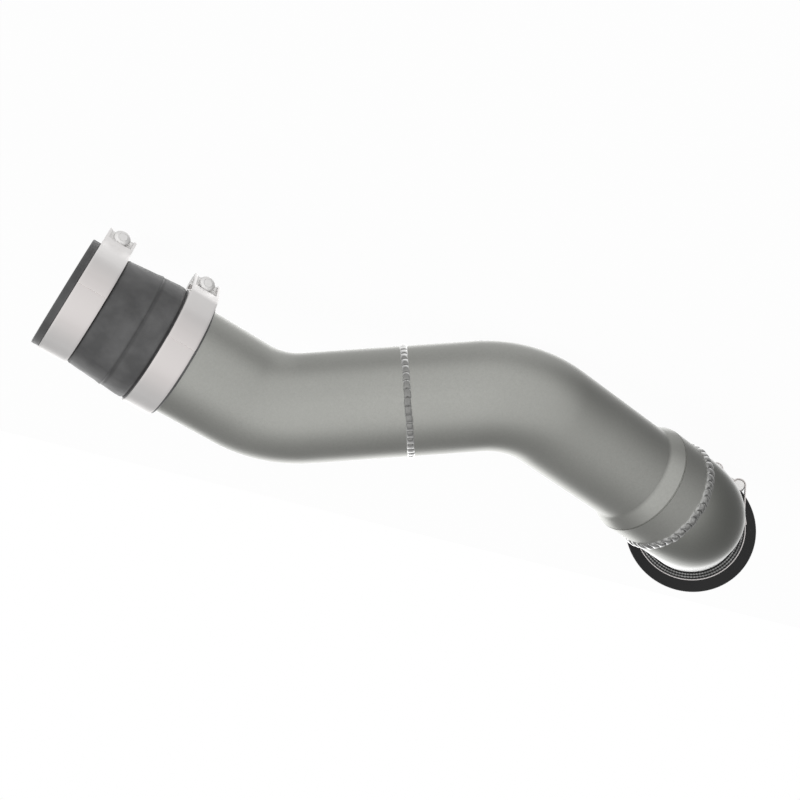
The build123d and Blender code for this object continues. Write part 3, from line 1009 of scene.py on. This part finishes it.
# each clamp: its nodes, station and hose, the lift of its loops, its clock angle, the side of its nut
# and how the strap comes down there; without a landing it meets the band where that rises
clampFits = {
    "inletOuter": {
        "node": "inlet_outer", "station": ahead(mouth, 14.6), "hose": smallHose,
        "lift": clamp["inletLift"], "clock": -152.5, "nutTurn": -1,
        "nutLean": 66.0, "nutLanding": 52.0, "nutTail": 109.6, "windowDrop": 1.5,
    },
    "inletInner": {
        "node": "inlet_inner", "station": ahead(mouth, inletHoseLength - 11.1), "hose": largeHose,
        "lift": clamp["inletLift"], "clock": -148.8, "nutTurn": -1,
        "nutLean": 52.0, "nutLanding": 74.0, "nutTail": 107.6, "windowDrop": 6.5,
    },
    "outletNear": {
        "node": "outlet_near", "station": ahead(outletCut, 14.5), "hose": humpCuff,
        "lift": clamp["outletLift"], "clock": 4.4, "nutTurn": 1,
        "nutLean": 90.0, "nutLanding": None, "nutTail": 107.0, "windowDrop": 1.5,
    },
    "outletFar": {
        "node": "outlet_far", "station": ahead(outletCut, humpHoseLength - 15.5), "hose": humpCuff,
        "lift": clamp["outletLift"], "clock": -92.0, "nutTurn": 1,
        "nutLean": 90.0, "nutLanding": None, "nutTail": 107.0, "windowDrop": 1.5,
    },
}


def makeClamp(name, fit):
    size = clampMeasures(fit["hose"], fit["lift"])
    spot, heading, normal, mark = fit["station"]
    axis = heading * fit["nutTurn"]
    outward = turned(normal, heading, fit["clock"])
    matrix = Matrix((outward.cross(axis), outward, axis)).transposed().to_4x4()
    matrix.translation = spot
    flat = size["side"] + clamp["barrelRadius"] - clamp["flatDepth"]
    seat = flat + clamp["washerThickness"]
    nutEnd = seat + clamp["nutHeight"] + clamp["collarHeight"]
    made = [
        (makeBand(name + "Band", size, fit, matrix), bandSteel, "band_steel", "_band"),
        (makeBridge(name + "Bridge", size, matrix), bandSteel, "band_steel", "_bridge"),
        (makeBolt(name + "Bolt", size, matrix, nutEnd), boltSteel, "bolt_steel", "_t_bolt"),
        (makeTrunnion(name + "Trunnion", size, matrix), boltSteel, "bolt_steel", "_trunnion"),
        (makeWasher(name + "Washer", size, matrix, flat), boltSteel, "bolt_steel", "_washer"),
        (makeNut(name + "Nut", size, matrix, seat), boltSteel, "bolt_steel", "_lock_nut"),
    ]
    for piece, material, slot, ending in made:
        dress(piece, material, slot, fit["node"] + ending)


for clampName, clampFit in clampFits.items():
    makeClamp(clampName, clampFit)
print("clamps made")

# floor, light and camera

studio = {
    "floorColour": (0.86, 0.86, 0.86), "floorHalf": 4.0, "floorWhite": 0.965,
    "keyDirection": (0.05, -1.0, 0.05), "keyPower": 0.5, "keySize": 1.2, "keySpot": (0.35, -1.0, 0.5),
    "keyAim": (0.1, -0.05, 0.05),
    "dimDirection": (-0.85, 0.35, 0.0), "dimShare": 0.45, "glowDirection": (0.0, 0.45, -0.9), "glow": 0.4,
}
# the tent's brightness, by how far a direction is turned from the backdrop towards the camera side
tent = [(0.0, 2.2), (0.06, 2.2), (0.145, 0.42), (0.40, 0.42), (0.60, 0.56), (0.78, 0.95), (1.0, 0.95)]


def makeFloor():
    half, depth = studio["floorHalf"], -0.0001
    mesh = bpy.data.meshes.new("floor")
    corners = [(x * half, y * half, depth) for x, y in ((-1, -1), (1, -1), (1, 1), (-1, 1))]
    mesh.from_pydata(corners, [], [(0, 1, 2, 3)])
    floor = linked("floor", mesh)
    material = bpy.data.materials.new("paleFloor")
    material.use_nodes = True
    tree = material.node_tree
    tree.nodes.clear()
    output, path, plain, white, seen, clear, mirrored = (newNode(tree, kind) for kind in (
        "OutputMaterial", "LightPath", "BsdfDiffuse", "Emission", "MixShader", "BsdfTransparent",
        "MixShader"))
    feed(tree, plain.inputs["Color"], studio["floorColour"])
    share = makeMath(tree, "MULTIPLY", path.outputs["Is Camera Ray"], studio["floorWhite"])
    for source, socket in (
            (share, seen.inputs[0]), (plain.outputs[0], seen.inputs[1]), (white.outputs[0], seen.inputs[2]),
            (path.outputs["Is Glossy Ray"], mirrored.inputs[0]), (seen.outputs[0], mirrored.inputs[1]),
            (clear.outputs[0], mirrored.inputs[2]), (mirrored.outputs[0], output.inputs[0])):
        tree.links.new(source, socket)
    mesh.materials.append(material)


def makeSky():
    # a white tent: bright behind the pipe, grey at its sides and bright again round the camera
    world = bpy.data.worlds.new("studioSky")
    bpy.context.scene.world = world
    world.use_nodes = True
    tree = world.node_tree
    tree.nodes.clear()
    output = newNode(tree, "OutputWorld")
    where = newNode(tree, "TexCoord").outputs["Generated"]

    def towards(aim):
        node = newNode(tree, "VectorMath")
        node.operation = "DOT_PRODUCT"
        node.inputs[1].default_value = Vector(aim).normalized()
        tree.links.new(where, node.inputs[0])
        return node.outputs["Value"]

    ramp = newNode(tree, "FloatCurve")
    curve = ramp.mapping.curves[0]
    while len(curve.points) < len(tent):
        curve.points.new(0.5, 0.5)
    ramp.mapping.use_clip = False
    for point, (position, level) in zip(curve.points, tent):
        point.location = (position, level / 4)
        point.handle_type = "VECTOR"
    ramp.mapping.update()
    tree.links.new(makeRange(tree, towards(studio["keyDirection"]), -1.0, 1.0), ramp.inputs["Value"])
    dim = makeRange(tree, towards(studio["dimDirection"]), 0.42, 0.95, 1.0, 1.0 - studio["dimShare"])
    glow = makeRange(tree, towards(studio["glowDirection"]), 0.75, 1.0, 0.0, studio["glow"])
    level = makeMath(tree, "MULTIPLY_ADD", makeMath(tree, "MULTIPLY", ramp.outputs[0], 4.0), dim, glow)
    light, white, path, mix = (newNode(tree, kind) for kind in (
        "Background", "Background", "LightPath", "MixShader"))
    for background in (light, white):
        background.inputs["Color"].default_value = (1, 1, 1, 1)
    for source, socket in (
            (level, light.inputs["Strength"]), (path.outputs["Is Camera Ray"], mix.inputs[0]),
            (light.outputs[0], mix.inputs[1]), (white.outputs[0], mix.inputs[2]),
            (mix.outputs[0], output.inputs[0])):
        tree.links.new(source, socket)


def makeSoftbox():
    data = bpy.data.lights.new("keySoftbox", "AREA")
    data.shape = "SQUARE"
    data.size = studio["keySize"]
    data.energy = studio["keyPower"]
    lamp = linked("keySoftbox", data)
    lamp.location = studio["keySpot"]
    lamp.rotation_mode = "QUATERNION"
    lamp.rotation_quaternion = (Vector(studio["keyAim"]) - lamp.location).to_track_quat("-Z", "Y")


# the photograph looks at the pipe with the floor side up
photoCamera = {
    "place": (0.06448, -0.77653, 0.16677), "right": (-0.9707, -0.04014, -0.23693),
    "down": (-0.24031, 0.16068, 0.95731), "lens": 42.75, "sensor": 36.0,
}


def makeCamera():
    data = bpy.data.cameras.new("photoCamera")
    data.lens = photoCamera["lens"]
    data.sensor_width = photoCamera["sensor"]
    camera = linked("photoCamera", data)
    right = Vector(photoCamera["right"]).normalized()
    up = -Vector(photoCamera["down"])
    up = (up - right * up.dot(right)).normalized()
    back = right.cross(up)
    turn = Matrix((right, up, back)).transposed().to_4x4()
    camera.matrix_world = Matrix.Translation(photoCamera["place"]) @ turn
    bpy.context.scene.camera = camera


makeFloor()
makeSky()
makeSoftbox()
makeCamera()
bpy.context.scene.view_settings.view_transform = "Standard"
print("studio made")
